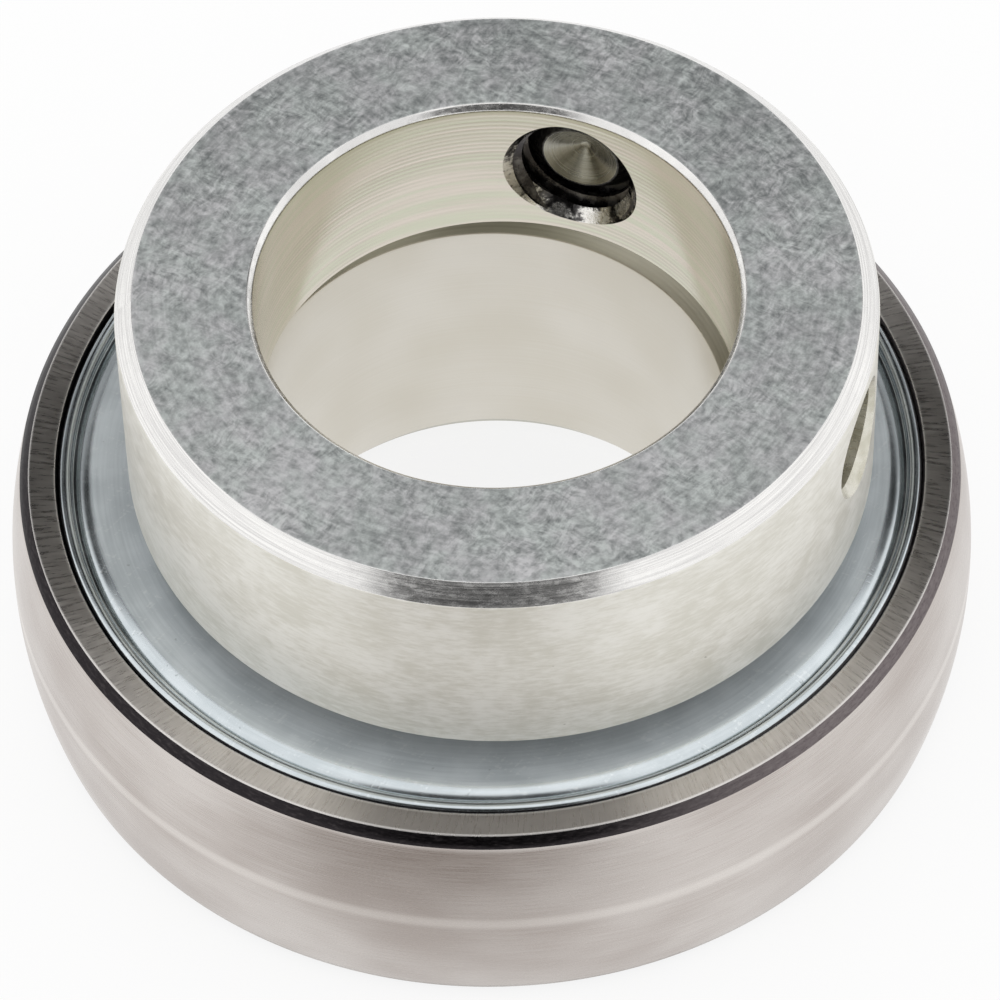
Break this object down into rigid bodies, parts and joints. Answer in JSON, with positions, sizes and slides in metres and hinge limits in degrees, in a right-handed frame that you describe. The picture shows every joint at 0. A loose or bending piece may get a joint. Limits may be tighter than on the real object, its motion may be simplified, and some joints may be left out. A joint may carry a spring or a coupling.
{
  "type": "insert bearing",
  "caption": "Sealed insert ball bearing with a spherical outside and an eccentric locking collar that clamps it to a plain shaft.",
  "frame": {"origin": "centre of the spherical outside surface, on the axis in the plane of the ball centres", "axes": "+Z along the bearing's axis towards the locking collar; X and Y across it"},
  "size_m": [0.072, 0.072, 0.0389],
  "materials": {
    "ground_steel": "ground bearing steel, satin",
    "bore_steel": "finely turned and ground, satin",
    "collar_steel": "turned steel with a pale zinc finish",
    "black_steel": "blackened hardened steel",
    "zinc_sheet": "zinc-plated pressed sheet",
    "rubber": "matt black seal rubber",
    "nylon": "glass-filled nylon, matt",
    "ball_steel": "polished bearing balls"
  },
  "bodies": {
    "outer": {"outer_ring": "ground_steel", "upper_seal_shield": "zinc_sheet", "upper_seal_lip": "rubber", "upper_seal_backing": "zinc_sheet", "lower_seal_shield": "zinc_sheet", "lower_seal_lip": "rubber", "lower_seal_backing": "zinc_sheet"},
    "inner": {"inner_ring": "bore_steel"},
    "cage": {"ball_cage": "nylon"},
    "ball_1_body": {"ball_1": "ball_steel"},
    "ball_2_body": {"ball_2": "ball_steel"},
    "ball_3_body": {"ball_3": "ball_steel"},
    "ball_4_body": {"ball_4": "ball_steel"},
    "ball_5_body": {"ball_5": "ball_steel"},
    "ball_6_body": {"ball_6": "ball_steel"},
    "ball_7_body": {"ball_7": "ball_steel"},
    "ball_8_body": {"ball_8": "ball_steel"},
    "ball_9_body": {"ball_9": "ball_steel"},
    "collar": {"locking_collar": "collar_steel"},
    "screw": {"set_screw": "black_steel"}
  },
  "joints": [
    {"name": "inner_spin", "type": "hinge", "parent": "outer", "child": "inner", "pos_m": [0, 0, 0], "axis": [0, 0, 1], "continuous": true},
    {"name": "cage_spin", "type": "hinge", "parent": "outer", "child": "cage", "pos_m": [0, 0, 0], "axis": [0, 0, 1], "continuous": true},
    {"name": "ball_1_spin", "type": "hinge", "parent": "cage", "child": "ball_1_body", "pos_m": [0.02634, 0.00465, 0], "axis": [0, 0, 1], "continuous": true},
    {"name": "ball_2_spin", "type": "hinge", "parent": "cage", "child": "ball_2_body", "pos_m": [0.01719, 0.02049, 0], "axis": [0, 0, 1], "continuous": true},
    {"name": "ball_3_spin", "type": "hinge", "parent": "cage", "child": "ball_3_body", "pos_m": [0, 0.02675, 0], "axis": [0, 0, 1], "continuous": true},
    {"name": "ball_4_spin", "type": "hinge", "parent": "cage", "child": "ball_4_body", "pos_m": [-0.01719, 0.02049, 0], "axis": [0, 0, 1], "continuous": true},
    {"name": "ball_5_spin", "type": "hinge", "parent": "cage", "child": "ball_5_body", "pos_m": [-0.02634, 0.00465, 0], "axis": [0, 0, 1], "continuous": true},
    {"name": "ball_6_spin", "type": "hinge", "parent": "cage", "child": "ball_6_body", "pos_m": [-0.02317, -0.01337, 0], "axis": [0, 0, 1], "continuous": true},
    {"name": "ball_7_spin", "type": "hinge", "parent": "cage", "child": "ball_7_body", "pos_m": [-0.00915, -0.02514, 0], "axis": [0, 0, 1], "continuous": true},
    {"name": "ball_8_spin", "type": "hinge", "parent": "cage", "child": "ball_8_body", "pos_m": [0.00915, -0.02514, 0], "axis": [0, 0, 1], "continuous": true},
    {"name": "ball_9_spin", "type": "hinge", "parent": "cage", "child": "ball_9_body", "pos_m": [0.02317, -0.01337, 0], "axis": [0, 0, 1], "continuous": true},
    {"name": "collar_turn", "type": "hinge", "parent": "inner", "child": "collar", "pos_m": [0.00076, 0.00024, 0.0227], "axis": [0, 0, 1], "continuous": true},
    {"name": "screw_travel", "type": "slide", "parent": "collar", "child": "screw", "axis": [0.3355, 0.9421, 0], "range_m": [-0.003, 0.0045]}
  ],
  "couplings": [
    {"joint": "cage_spin", "follows": "inner_spin", "ratio": 0.39615},
    {"joint": "ball_1_spin", "follows": "inner_spin", "ratio": -2.3035},
    {"joint": "ball_2_spin", "follows": "inner_spin", "ratio": -2.3035},
    {"joint": "ball_3_spin", "follows": "inner_spin", "ratio": -2.3035},
    {"joint": "ball_4_spin", "follows": "inner_spin", "ratio": -2.3035},
    {"joint": "ball_5_spin", "follows": "inner_spin", "ratio": -2.3035},
    {"joint": "ball_6_spin", "follows": "inner_spin", "ratio": -2.3035},
    {"joint": "ball_7_spin", "follows": "inner_spin", "ratio": -2.3035},
    {"joint": "ball_8_spin", "follows": "inner_spin", "ratio": -2.3035},
    {"joint": "ball_9_spin", "follows": "inner_spin", "ratio": -2.3035}
  ]
}
